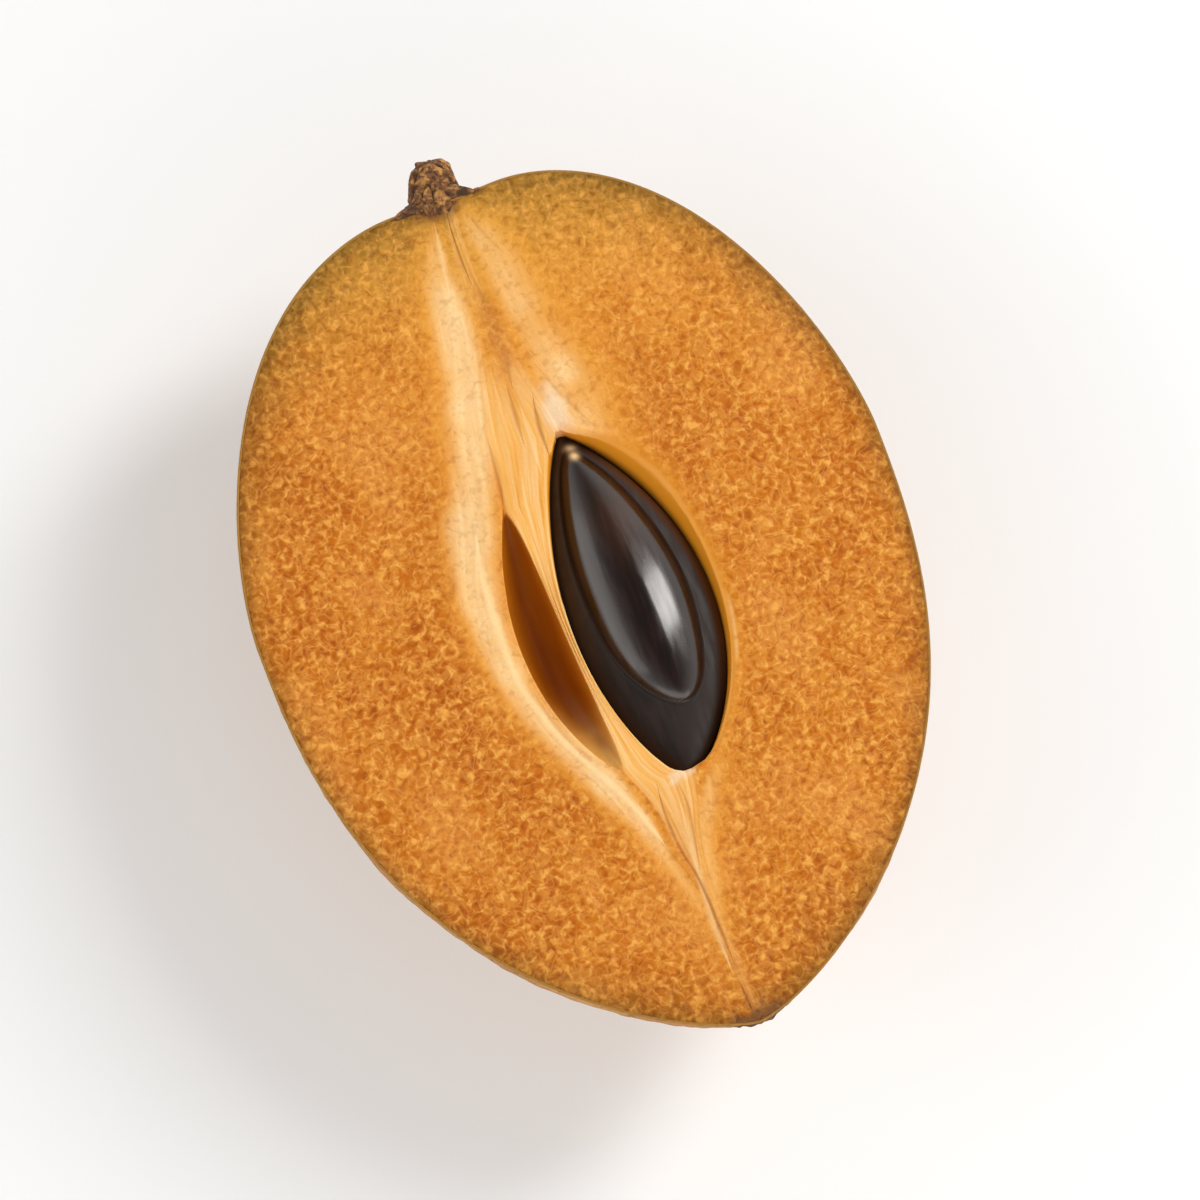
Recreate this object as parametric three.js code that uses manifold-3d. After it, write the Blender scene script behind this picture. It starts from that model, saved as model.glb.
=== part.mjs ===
// One half of a ripe sapodilla, cut lengthwise, lying on its skin with the cut face up.
// Millimetres, +Z up. The origin is the centre of the small flat spot that it rests on.
// +Y points to the stem end, and the core of the fruit runs along Y above the origin.
// Stations are distances from the foot of the stub towards the blossom tip.

import * as THREE from "three";
import { mergeVertices } from "three/addons/utils/BufferGeometryUtils.js";
import Module from "manifold-3d";

const wasm = await Module();
wasm.setup();

// The fruit's outside
const FRUIT_LENGTH = 72; // foot of the stub to blossom tip
const HALF_WIDTH_LEFT = 27.2; // core to rim on the -X side, at the widest station
const HALF_WIDTH_RIGHT = 26; // the same on the +X side
const HALF_DEPTH = 26; // cut face to belly, before the resting spot is flattened
const RIM_STATION = 29.7; // where the rim is widest
const BELLY_STATION = 34; // where the belly is deepest, under the fruit's weight
const SHOULDER_RISE = 0.7; // how far the shoulders stand above the foot of the stub
const DIMPLE_RADIUS = 4.5; // reach of the shallow dimple that the stub sits in
const STEM_ROUNDNESS = { along: 1.61, across: 2.55 }; // superellipse powers, blunt end
const TIP_ROUNDNESS = { along: 2.47, across: 1.4 }; // the same, pointed end
const FLATTENED = 0.7; // how much of the belly is pressed flat where it rests

// Its layers
const SKIN = 0.8;
const CLEARANCE = 0.3; // between pieces that touch in the real fruit

// The seed, and the pit that it sits in
const SEED_START = 21.3; // station of its upper point
const SEED_LENGTH = 29.5;
const SEED_LINE = 1.7; // X of the line through its two points
const SEED_HALF_WIDTH_LEFT = 4.55;
const SEED_HALF_WIDTH_RIGHT = 7.2;
const SEED_MARGIN_DEPTH = 2; // how far its sharp margin lies below the cut face
const SEED_DOME = 3; // height of the dome above the margin
const SEED_KEEL = 3.2; // depth of the underside below the margin
const SEED_TAPER = { upper: 0.85, lower: 0.74, blunt: 0.02 }; // slender upper point, blunt lower end
const SEED_MARGIN_EDGE = 1.25; // 1 is a round margin, more is sharper
const PIT_LIP = 1; // extra room on the right, where the pit's wall shows beside the seed

// The empty seed chamber on the left of the core
const CHAMBER_START = 26;
const CHAMBER_LENGTH = 23.2;
const CHAMBER_LINE_UPPER = -4.8; // X of its centre line at the upper point
const CHAMBER_LINE_LOWER = -3.2; // and at the lower point
const CHAMBER_BOW = 1.5; // how far the middle of that line bows away from the core
const CHAMBER_HALF_WIDTH_LEFT = 1.75;
const CHAMBER_HALF_WIDTH_RIGHT = 1.95;
const CHAMBER_MARGIN_DEPTH = 2.2;
const CHAMBER_KEEL = 3.3;
const CHAMBER_TAPER = { upper: 0.6, lower: 0.7, blunt: 0 };

// The stub of the stalk with the dry calyx round its foot
const STUB_X = -1;
const STUB_BELOW_CUT = 2.2; // its centre line lies this far below the cut face
const STUB_LEAN = THREE.MathUtils.degToRad(11); // towards +X
const KNOB_HEIGHT = 4.5;
const KNOB_FOOT = 2.9; // radius, as are those below; at is a share of the height
const KNOB_MIDDLE = { radius: 2.2, at: 0.35 };
const KNOB_UPPER = { radius: 1.9, at: 0.65 };
const KNOB_CROWN = { radius: 1.25, at: 0.92 };
const KNOB_SUNK = 1; // how far its foot is carried down, to be trimmed by the shoulder
const ROOT_RADIUS = 1.2; // woody strand that enters the flesh
const ROOT_LENGTH = 3;
const LOBES = 6; // sepals round a whole calyx
const LOBE_REACH = 4.6; // centre line to the tip of a lobe
const LOBE_WIDTH = 3.3;
const LOBE_THICKNESS = 1.1;
const LOBE_LIFT = 0.3; // height of a lobe's root above the foot
const LOBE_DROOP = 0.8; // how far its tip bends down along the shoulder
const LOBE_TAPER = 0.9;

const CUT_HEIGHT = HALF_DEPTH - FLATTENED;
const HIGH = 14; // height of the tools that open the pit and the chamber upwards
const MERGE_MM = 1e-4;
const BLUNT_REACH = 0.012; // share of a spindle's length in which a blunt end rounds off

// Facets round and along each kind of piece
const FRUIT_FACETS = { around: 48, along: 32 };
const SPINDLE_FACETS = { around: 24, along: 22 };
const KNOB_FACETS = { around: 28, along: 12 };
const LOBE_FACETS = { around: 16, along: 12 };
const ROOT_FACETS = 20;

const stationToY = (station) => BELLY_STATION - station;

// A closed three.js geometry as a solid that can be joined and cut.
function solidOf(geometry) {
  const bare = geometry.clone();
  bare.deleteAttribute("normal");
  bare.deleteAttribute("uv");
  const merged = mergeVertices(bare, MERGE_MM);
  return new wasm.Manifold(
    new wasm.Mesh({
      numProp: 3,
      vertProperties: merged.attributes.position.array,
      triVerts: new Uint32Array(merged.index.array),
    }),
  );
}

// A solid as a named mesh with its own material.
function meshOf(name, solid, material) {
  const { numProp, vertProperties, triVerts } = solid.getMesh();
  const geometry = new THREE.BufferGeometry();
  const corners = new THREE.InterleavedBuffer(vertProperties, numProp);
  geometry.setAttribute("position", new THREE.InterleavedBufferAttribute(corners, 3, 0));
  geometry.setIndex(new THREE.BufferAttribute(triVerts, 1));
  const flat = geometry.toNonIndexed();
  flat.computeVertexNormals();
  const mesh = new THREE.Mesh(flat, material);
  mesh.name = name;
  return mesh;
}

// A sphere of radius 1 with each of its points moved to place(x, y, z).
function shapedSphere(facets, place) {
  const geometry = new THREE.SphereGeometry(1, facets.around, facets.along);
  const corners = geometry.attributes.position;
  const at = new THREE.Vector3();
  for (let i = 0; i < corners.count; i++) {
    at.fromBufferAttribute(corners, i);
    place(at);
    corners.setXYZ(i, at.x, at.y, at.z);
  }
  return geometry;
}

// The half space between two heights, as a box wider than the fruit.
function slab(low, high) {
  const wide = 3 * FRUIT_LENGTH;
  return solidOf(new THREE.BoxGeometry(wide, wide, high - low).translate(0, 0, (low + high) / 2));
}

// The whole fruit's outside, taken in by inset all round. Along the core it is two superellipses
// that meet at the widest station; across, it is a quarter ellipse on each side of the core.
function wholeFruit(inset) {
  return solidOf(
    shapedSphere(FRUIT_FACETS, (at) => {
      const ring = Math.hypot(at.x, at.z);
      const cosine = ring > 0 ? at.x / ring : 1;
      const sine = ring > 0 ? at.z / ring : 0;
      const widest = THREE.MathUtils.lerp(RIM_STATION, BELLY_STATION, sine * sine);
      const power = at.y >= 0 ? STEM_ROUNDNESS : TIP_ROUNDNESS;
      const reach = Math.abs(at.y) ** (2 / power.along);
      const spread = ring ** (2 / power.across);
      const side = (at.x < 0 ? HALF_WIDTH_LEFT : HALF_WIDTH_RIGHT) - inset;
      const upper = widest + SHOULDER_RISE - inset;
      const lower = FRUIT_LENGTH - widest - inset;
      let station = at.y >= 0 ? widest - upper * reach : widest + lower * reach;
      const fromCore = spread * side;
      if (at.y > 0) station += SHOULDER_RISE * Math.exp(-((fromCore / DIMPLE_RADIUS) ** 2));
      at.set(
        fromCore * cosine,
        stationToY(station),
        CUT_HEIGHT + spread * (HALF_DEPTH - inset) * sine,
      );
    }),
  );
}

// A spindle with two points, as a seed or its pit: it lies along Y with its margin level.
// taper sets how slender each end is, and its blunt is the share of the length that is missing
// from the lower point; the section is a lens, sharpened by edge above 1.
function spindle({ start, length, lineAt, left, right, marginZ, up, down, taper, edge = 1 }) {
  const whole = 1 + taper.blunt;
  const peak = (whole * taper.upper) / (taper.upper + taper.lower);
  const full = peak ** taper.upper * (whole - peak) ** taper.lower;
  return solidOf(
    shapedSphere(SPINDLE_FACETS, (at) => {
      const share = THREE.MathUtils.clamp((1 - at.y) / 2, 0, 1);
      const rest = 1 - share + taper.blunt * Math.tanh((1 - share) / BLUNT_REACH);
      const girth = (share ** taper.upper * rest ** taper.lower) / full;
      const ring = Math.hypot(at.x, at.z) || 1;
      const across = at.x / ring;
      const lift = at.z / ring;
      at.set(
        lineAt(share) + girth * across * (across < 0 ? left : right),
        stationToY(start + share * length),
        marginZ + girth * Math.sign(lift) * Math.abs(lift) ** edge * (lift > 0 ? up : down),
      );
    }),
  );
}

// The seed as it lies, or the pit that is wider than it by room and open upwards.
function seedShape(room = 0) {
  return spindle({
    start: SEED_START - room,
    length: SEED_LENGTH + 2 * room,
    lineAt: () => SEED_LINE,
    left: SEED_HALF_WIDTH_LEFT + room,
    right: SEED_HALF_WIDTH_RIGHT + (room > 0 ? PIT_LIP : 0),
    marginZ: CUT_HEIGHT - SEED_MARGIN_DEPTH,
    up: room > 0 ? HIGH : SEED_DOME,
    down: SEED_KEEL + room,
    taper: SEED_TAPER,
    edge: room > 0 ? 1 : SEED_MARGIN_EDGE,
  });
}

// The empty chamber: a narrow curved spindle, open upwards.
function chamberShape() {
  return spindle({
    start: CHAMBER_START,
    length: CHAMBER_LENGTH,
    lineAt: (share) =>
      THREE.MathUtils.lerp(CHAMBER_LINE_UPPER, CHAMBER_LINE_LOWER, share) -
      CHAMBER_BOW * 4 * share * (1 - share),
    left: CHAMBER_HALF_WIDTH_LEFT,
    right: CHAMBER_HALF_WIDTH_RIGHT,
    marginZ: CUT_HEIGHT - CHAMBER_MARGIN_DEPTH,
    up: HIGH,
    down: CHAMBER_KEEL,
    taper: CHAMBER_TAPER,
  });
}

// Moves what is made round the stub's own foot, with its centre line up +Y, to the stem end.
const atStemEnd = new THREE.Matrix4()
  .makeTranslation(STUB_X, stationToY(0), CUT_HEIGHT - STUB_BELOW_CUT)
  .multiply(new THREE.Matrix4().makeRotationZ(-STUB_LEAN));

// The woody strand that runs from the knob into the flesh, grown by room for its socket.
function rootShape(room = 0) {
  const radius = ROOT_RADIUS + room;
  const inside = ROOT_LENGTH + room;
  const length = inside + KNOB_MIDDLE.at * KNOB_HEIGHT;
  const strand = new THREE.CylinderGeometry(radius, radius, length, ROOT_FACETS);
  return solidOf(strand.translate(0, length / 2 - inside, 0).applyMatrix4(atStemEnd));
}

// The knob: a turned profile that narrows from a wide foot to a rounded top.
function knobShape() {
  const side = new THREE.SplineCurve([
    new THREE.Vector2(KNOB_FOOT, 0),
    ...[KNOB_MIDDLE, KNOB_UPPER, KNOB_CROWN].map(
      ({ radius, at }) => new THREE.Vector2(radius, at * KNOB_HEIGHT),
    ),
    new THREE.Vector2(0, KNOB_HEIGHT),
  ]);
  const foot = [new THREE.Vector2(0, -KNOB_SUNK), new THREE.Vector2(KNOB_FOOT, -KNOB_SUNK)];
  const profile = [...foot, ...side.getPoints(KNOB_FACETS.along)];
  return solidOf(new THREE.LatheGeometry(profile, KNOB_FACETS.around).applyMatrix4(atStemEnd));
}

// One dry sepal: a thin pointed lobe from the foot of the knob, turned by angle round it.
function lobeShape(angle) {
  const lobe = shapedSphere(LOBE_FACETS, (at) => {
    const share = (1 + at.x) / 2;
    const width = 2 * Math.sqrt(share) * (1 - share) ** LOBE_TAPER;
    const ring = Math.hypot(at.y, at.z) || 1;
    const out = share * LOBE_REACH;
    at.set(
      out,
      (at.y / ring) * width * (LOBE_THICKNESS / 2) + LOBE_LIFT - LOBE_DROOP * share * share,
      (at.z / ring) * width * (LOBE_WIDTH / 2),
    );
  });
  return solidOf(lobe.rotateY(angle).applyMatrix4(atStemEnd));
}

const looks = {
  skin: new THREE.MeshStandardMaterial({ color: 0xa8743a, roughness: 0.85, metalness: 0 }),
  flesh: new THREE.MeshStandardMaterial({ color: 0xd98f3f, roughness: 0.5, metalness: 0 }),
  seed: new THREE.MeshStandardMaterial({ color: 0x1a100c, roughness: 0.15, metalness: 0 }),
  stub: new THREE.MeshStandardMaterial({ color: 0x7a5238, roughness: 0.9, metalness: 0 }),
};

function makeSkin() {
  const outside = wholeFruit(0).intersect(slab(0, CUT_HEIGHT));
  const inside = wholeFruit(SKIN).intersect(slab(SKIN, 2 * CUT_HEIGHT));
  return outside.subtract(inside).subtract(rootShape(CLEARANCE));
}

function makeFlesh() {
  const inset = SKIN + CLEARANCE;
  return wholeFruit(inset)
    .intersect(slab(inset, CUT_HEIGHT))
    .subtract(seedShape(CLEARANCE))
    .subtract(chamberShape())
    .subtract(rootShape(CLEARANCE));
}

// The lobe that pointed at the other half went with it, so the calyx keeps one fewer.
function makeStub() {
  let stub = knobShape();
  for (let i = 1; i < LOBES; i++) {
    stub = stub.add(lobeShape(-Math.PI / 2 + (i * 2 * Math.PI) / LOBES));
  }
  return stub.subtract(wholeFruit(-CLEARANCE)).add(rootShape());
}

const sapodillaHalf = new THREE.Group();
sapodillaHalf.name = "sapodilla_half";
sapodillaHalf.add(
  meshOf("skin", makeSkin(), looks.skin),
  meshOf("flesh", makeFlesh(), looks.flesh),
  meshOf("seed", seedShape(), looks.seed),
  meshOf("stem_stub", makeStub(), looks.stub),
);

export default sapodillaHalf;
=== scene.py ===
"""Half of a ripe sapodilla, cut lengthwise, lying on its skin with the cut face up.

Shapes are worked out in millimetres and written to the meshes in metres. A station is the distance
from the foot of the stub towards the blossom tip; X runs across the cut face, Z is up.
"""

from functools import partial

import bpy
import numpy as np
from bpy.props import FloatProperty, FloatVectorProperty, PointerProperty
from bpy.types import Operator, Panel, PropertyGroup
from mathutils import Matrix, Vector


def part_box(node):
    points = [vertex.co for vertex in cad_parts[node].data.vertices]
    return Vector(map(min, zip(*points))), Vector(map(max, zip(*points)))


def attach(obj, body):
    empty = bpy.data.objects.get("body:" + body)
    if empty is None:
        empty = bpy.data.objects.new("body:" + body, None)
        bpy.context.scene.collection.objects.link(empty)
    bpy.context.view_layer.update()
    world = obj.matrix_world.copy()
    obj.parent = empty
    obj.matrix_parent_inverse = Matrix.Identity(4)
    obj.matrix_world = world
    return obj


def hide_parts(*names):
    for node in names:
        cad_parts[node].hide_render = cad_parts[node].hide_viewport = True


bl_info = {
    "name": "Sapodilla Half",
    "version": (1, 0, 0),
    "blender": (4, 5, 0),
    "location": "View3D > Sidebar > Sapodilla",
    "description": "Builds one half of a ripe sapodilla and a plain stage for it",
    "category": "Add Mesh",
}

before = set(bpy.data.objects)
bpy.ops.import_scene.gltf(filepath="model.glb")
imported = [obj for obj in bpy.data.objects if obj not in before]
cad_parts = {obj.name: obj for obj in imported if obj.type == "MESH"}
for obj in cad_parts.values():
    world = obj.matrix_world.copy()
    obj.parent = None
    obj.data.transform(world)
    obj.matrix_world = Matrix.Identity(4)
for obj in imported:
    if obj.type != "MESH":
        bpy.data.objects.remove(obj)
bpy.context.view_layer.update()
MM = 0.001


def box_mm(node):
    """The lowest and highest corners of a CAD node, in millimetres."""
    low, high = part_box(node)
    return np.array(low) / MM, np.array(high) / MM


SKIN_LOW, SKIN_HIGH = box_mm("skin")
SEED_LOW, SEED_HIGH = box_mm("seed")

# The fruit's outline: two superellipses that meet at the widest station
FRUIT_LENGTH = 72.0
CUT_Z = SKIN_HIGH[2]
LEFT, RIGHT = -SKIN_LOW[0], SKIN_HIGH[0]
FOOT_Y = SKIN_LOW[1] + FRUIT_LENGTH
RIM_STATION = 29.7
BELLY_STATION = FOOT_Y
FLATTENED = 0.7
DEPTH = CUT_Z + FLATTENED
SHOULDER_RISE = 0.7
DIMPLE_RADIUS = 4.5
STEM_ALONG, STEM_ACROSS = 1.61, 2.55
TIP_ALONG, TIP_ACROSS = 2.47, 1.4

# The seed and its pit
SEED_LINE = 1.7
SEED_START = FOOT_Y - SEED_HIGH[1]
SEED_LENGTH = SEED_HIGH[1] - SEED_LOW[1]
SEED_LEFT, SEED_RIGHT = SEED_LINE - SEED_LOW[0], SEED_HIGH[0] - SEED_LINE
SEED_TAPER = (0.85, 0.74, 0.02)
SEED_MARGIN_Z = CUT_Z - 2.0
SEED_DOME = SEED_HIGH[2] - SEED_MARGIN_Z
SEED_KEEL = SEED_MARGIN_Z - SEED_LOW[2]
PIT_GAP = 0.15
PIT_WALL, PIT_HOLLOW = 2.3, 3.4  # height of the pit's wall, and how much deeper its middle is
PIT_SQUARENESS = 8  # power of the pit's section: a high one gives a flat floor and steep sides
PIT_LIP_KNOTS = [
    (20, 0.5), (23, 1.2), (26, 1.5), (30, 1.15), (34, 0.75), (38, 0.5), (44, 0.35), (52, 0.25),
]

# The empty seed chamber
CHAMBER_START, CHAMBER_LENGTH = 26.0, 23.2
CHAMBER_TAPER_LEFT, CHAMBER_TAPER_RIGHT = (1.0, 0.7, 0.0), (0.6, 0.7, 0.0)
CHAMBER_LINE = (-4.8, -3.2)
CHAMBER_BOW = 1.5
CHAMBER_LEFT, CHAMBER_RIGHT = 1.95, 1.95
CHAMBER_SQUARENESS = 2.6
FILM_STATIONS = (40.5, 49.5)  # the film over the lower end thickens between these
FILM_FILLS = 0.8  # share of the depth that it takes up

# The stub's own frame: its foot, and its lean towards +X in radians
STUB_FOOT = np.array([-1.0, FOOT_Y, CUT_Z - 2.2])
STUB_LEAN = np.radians(11)


# Helpers for shapes


def smooth(low, high, at):
    """The share of the way from low to high, eased: 3t^2 - 2t^3."""
    t = np.clip((at - low) / (high - low), 0, 1)
    return t * t * (3 - 2 * t)


def bell(at, middle, width):
    """1 at the middle, falling as exp(-(distance / width)^2)."""
    return np.exp(-(((at - middle) / width) ** 2))


def through(at, knots, column=1):
    """A smooth line through rows of place and values, of cubic pieces with the neighbours' mean slopes."""
    place, value = np.array(knots, float)[:, [0, column]].T
    slope = np.gradient(value, place)
    piece = np.clip(np.searchsorted(place, at) - 1, 0, len(place) - 2)
    span = place[piece + 1] - place[piece]
    t = np.clip((at - place[piece]) / span, 0, 1)
    start = (1 + 2 * t) * (1 - t) ** 2 * value[piece] + t * (1 - t) ** 2 * span * slope[piece]
    end = t * t * (3 - 2 * t) * value[piece + 1] + t * t * (t - 1) * span * slope[piece + 1]
    return start + end


def noise(points, size, seed=0):
    """Smooth value noise from -1 to 1: hashed values at the corners of cubes of this size, blended."""
    at = np.asarray(points) / np.asarray(size) + 31.7 * seed
    cell = np.floor(at).astype(np.int64)
    ease = at - cell
    ease = ease**3 * (ease * (6 * ease - 15) + 10)
    total = 0.0
    for corner in np.ndindex(2, 2, 2):
        i, j, k = np.moveaxis(cell + corner, -1, 0)
        mixed = (i * 374761393 + j * 668265263 + k * 1440662683 + seed * 97463) & 0xFFFFFFFF
        mixed = ((mixed ^ (mixed >> 13)) * 1274126177) & 0xFFFFFFFF
        value = ((mixed ^ (mixed >> 16)) & 0xFFFF) / 32767.5 - 1
        total = total + value * np.prod(np.where(corner, ease, 1 - ease), axis=-1)
    return total


def fractal(points, size, seed=0, octaves=3):
    """Octaves of noise, each half as large and half as strong as the one before."""
    return sum(noise(points, size / 2**i, seed + i) / 2**i for i in range(octaves))


def girth(share, taper):
    """The girth of a spindle with two points, from 0 to 1 and back: s^a r^b over its peak.

    r is what is left of the way, 1 - s, plus a blunt share that rounds off close to the lower point.
    """
    upper, lower, blunt = taper
    share = np.clip(share, 0, 1)
    rest = 1 - share + blunt * np.tanh((1 - share) / 0.012)
    peak = (1 + blunt) * upper / (upper + lower)
    return share**upper * rest**lower / (peak**upper * (1 + blunt - peak) ** lower)


def fruit_surface(end, reach, across, down, inset):
    """The fruit's outside, taken in by inset. end is -1 towards the stalk and 1 towards the tip.

    reach is the share of the way from the widest station to that end, and the ring there has radius
    (1 - reach^along)^(1/across power). across and down are the cosine and sine round the ring.
    """
    along = np.where(end < 0, STEM_ALONG, TIP_ALONG)
    power = np.where(end < 0, STEM_ACROSS, TIP_ACROSS)
    spread = np.clip(1 - reach**along, 0, 1) ** (1 / power)
    widest = RIM_STATION + (BELLY_STATION - RIM_STATION) * down**2
    upper = widest + SHOULDER_RISE - inset
    lower = FRUIT_LENGTH - widest - inset
    from_core = spread * (np.where(across < 0, LEFT, RIGHT) - inset)
    dimple = np.where(end < 0, SHOULDER_RISE * bell(from_core, 0, DIMPLE_RADIUS), 0)
    station = widest + np.where(end < 0, -upper, lower) * reach + dimple
    return from_core * across, FOOT_Y - station, CUT_Z - spread * (DEPTH - inset) * down


def loft_mesh(name, grid, poles, values):
    """A closed mesh from rings of points: grid is rings by points by 3, closed at both ends by poles.

    values are per-point numbers or vectors, kept as attributes. Faces are turned outwards by the
    sign of the volume that they hold.
    """
    rings, around = grid.shape[:2]
    points = np.concatenate([grid.reshape(-1, 3), np.array(poles)]) * MM
    here = np.arange(around)
    beside = np.roll(here, -1)
    first = np.arange(rings - 1)[:, None] * around
    quads = np.stack([first + here, first + beside, first + around + beside, first + around + here], -1)
    quads = quads.reshape(-1, 4)
    last = (rings - 1) * around
    caps = np.concatenate(
        [
            np.stack([np.full(around, rings * around), beside, here], -1),
            np.stack([np.full(around, rings * around + 1), last + here, last + beside], -1),
        ]
    )
    triangles = np.concatenate([quads[:, [0, 1, 2]], quads[:, [0, 2, 3]], caps])
    a, b, c = points[triangles].transpose(1, 0, 2)
    if np.einsum("ij,ij->", a, np.cross(b, c)) < 0:
        quads, caps = quads[:, ::-1], caps[:, ::-1]
    mesh = bpy.data.meshes.new(name)
    mesh.from_pydata(points, [], quads.tolist() + caps.tolist())
    for key, value in values.items():
        value = np.asarray(value, np.float32).reshape(rings * around, -1)
        ends = [value[:around].mean(0), value[-around:].mean(0)]
        value = np.concatenate([value, ends])
        kind, field = ("FLOAT", "value") if value.shape[1] == 1 else ("FLOAT_VECTOR", "vector")
        mesh.attributes.new(key, kind, "POINT").data.foreach_set(field, value.ravel())
    mesh.shade_smooth()
    mesh.update()
    return mesh


def add_piece(name, mesh, material, node):
    """Puts a mesh into the scene as the piece that stands for a CAD node."""
    piece = bpy.data.objects.new(name, mesh)
    bpy.context.scene.collection.objects.link(piece)
    mesh.materials.append(material)
    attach(piece, "root")
    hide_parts(node)
    return piece


# Helpers for materials


def linear(colour):
    """An sRGB hex colour as linear RGB."""
    part = np.array([int(colour[i : i + 2], 16) for i in (0, 2, 4)]) / 255
    return tuple(np.where(part <= 0.04045, part / 12.92, ((part + 0.055) / 1.055) ** 2.4))


# Kinds of node that are used often: their settings, the setting that says what they do, the sockets
# that their values go to in turn, and the output that is used
KINDS = {
    "Attribute": ({}, "attribute_name", (), "Fac"),
    "Mapping": ({}, "", ("Vector", "Scale"), 0),
    "MapRange": ({"interpolation_type": "SMOOTHSTEP"}, "", range(5), 0),
    "Math": ({}, "operation", range(3), 0),
    "Mix": ({"data_type": "RGBA"}, "blend_type", (0, 6, 7), 2),
    "TexCoord": ({}, "", (), "Object"),
    "TexNoise": ({}, "", ("Vector", "Scale", "Detail", "Distortion", "Roughness"), 0),
}


def node(tree, kind, *values, inputs=None, output=None, **settings):
    """Adds one node with its settings and links, and gives back one of its outputs.

    kind is its type and, after a space, what it does, as in "Math ADD". values go to the sockets that
    KINDS lists, or to the first ones, and inputs go to the sockets that they name. Each is a number, a
    colour, a vector or another node's output.
    """
    kind, _, task = kind.partition(" ")
    shared, task_setting, sockets, usual_output = KINDS.get(kind, ({}, "", range(len(values)), 0))
    made = tree.nodes.new("ShaderNode" + kind)
    if task:
        settings[task_setting] = task
    for key, value in (shared | settings).items():
        setattr(made, key, value)
    for key, value in [*zip(sockets, values), *(inputs or {}).items()]:
        socket = made.inputs[key]
        if isinstance(value, bpy.types.NodeSocket):
            tree.links.new(value, socket)
        elif socket.type == "RGBA":
            socket.default_value = (*value, 1)
        else:
            socket.default_value = value
    if output is None:
        output = usual_output
    return made.outputs[output] if made.outputs else None


def new_material(name):
    """A new material with an empty node tree, and the function that adds a node to it."""
    material = bpy.data.materials.new(name)
    material.use_nodes = True
    material.node_tree.nodes.clear()
    return material, partial(node, material.node_tree)


# Sizes and colours


class SapodillaSizes(PropertyGroup):
    """Sizes of the finish, which the solids leave open."""

    skin_edge: FloatProperty(
        name="Skin edge",
        description="Thickness of the skin where the cut shows it",
        default=0.2 * MM,
        unit="LENGTH",
    )
    scurf: FloatProperty(
        name="Scurf",
        description="Height of the skin's uneven scurfy relief",
        default=0.1 * MM,
        unit="LENGTH",
    )
    granules: FloatProperty(
        name="Granules",
        description="Height of the flesh's granular relief",
        default=0.07 * MM,
        unit="LENGTH",
    )
    fibres: FloatProperty(
        name="Fibres",
        description="Height of the fibres along the core",
        default=0.09 * MM,
        unit="LENGTH",
    )
    chamber_depth: FloatProperty(
        name="Chamber depth",
        description="Depth of the empty seed chamber",
        default=4.0 * MM,
        unit="LENGTH",
    )
    fissures: FloatProperty(
        name="Fissures",
        description="Depth of the cracks in the dry stub",
        default=0.3 * MM,
        unit="LENGTH",
    )


def colour_property(name, description, colour):
    """A colour that the user can change, from its sRGB hex value."""
    return FloatVectorProperty(
        name=name, description=description, default=linear(colour), subtype="COLOR", min=0, max=1
    )


class SapodillaColours(PropertyGroup):
    """Colours of each finish."""

    flesh: colour_property("Flesh", "Main colour of the ripe flesh", "C8720F")
    flesh_deep: colour_property("Deep flesh", "Riper, more orange patches", "BC6409")
    flesh_peach: colour_property("Peachy flesh", "Drier, paler patches", "D48434")
    gold: colour_property("Golden flesh", "Smooth flesh beside the pale core", "F0A73C")
    flesh_light: colour_property("Light flesh", "Moist granules that catch the light", "EAA546")
    fibre: colour_property("Fibres", "Pale fibres along the core", "F8D49A")
    membrane: colour_property("Membrane", "Whitish film and single fibres", "F2DFC2")
    strand: colour_property("Core strand", "Tan fibres between the pale ones", "F1B25A")
    amber: colour_property("Amber lip", "Translucent wall round the seed", "DA8A1E")
    film: colour_property("Chamber film", "Tan film over the chamber's lower end", "D0994C")
    cavity: colour_property("Cavity", "Brown lining of the empty chamber", "A6590A")
    # Painted shade of the flesh towards the skin
    ochre: colour_property("Ochre rim", "Flesh just under the skin", "7E4E08")
    # Greener flesh round the stub, darkened with painted shade towards the skin
    olive: colour_property("Olive rim", "Unripe flesh under the skin of the shoulder", "6A4E0C")
    shoulder: colour_property("Shoulder", "Yellower flesh round the stub", "CB9C38")
    skin: colour_property("Skin", "Sandy brown scurf", "AA7232")
    skin_light: colour_property("Light scurf", "Worn, paler scurf", "C4904C")
    skin_dark: colour_property("Dark scurf", "Flecks and lenticels", "6E4520")
    skin_cut: colour_property("Cut skin", "Edge of the skin at the cut", "A4742C")
    seed: colour_property("Seed coat", "Polished black-brown coat", "140A06")
    seed_red: colour_property("Seed streaks", "Reddish streaks of the coat", "2A100B")
    seed_glow: colour_property("Seed glow", "Warm brown area of the coat", "3C2010")
    # Also the painted shade deep in the pit's wall
    seed_band: colour_property("Seed scar", "Olive-brown scar along one margin", "3A260E")
    # Painted bounce light: the seed's margin lit by the amber wall beside it
    seed_margin: colour_property("Seed margin", "Brown edge that the amber wall lights", "6A3A0C")
    stub: colour_property("Stub", "Dry brown bark of the stub", "784A24")
    stub_light: colour_property("Worn stub", "Lighter ridges of the bark", "C68C48")
    stub_dark: colour_property("Stub cracks", "Dark cracks of the bark", "32190A")
    floor: colour_property("Floor", "Plain pale floor", "F7F7F6")


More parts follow.
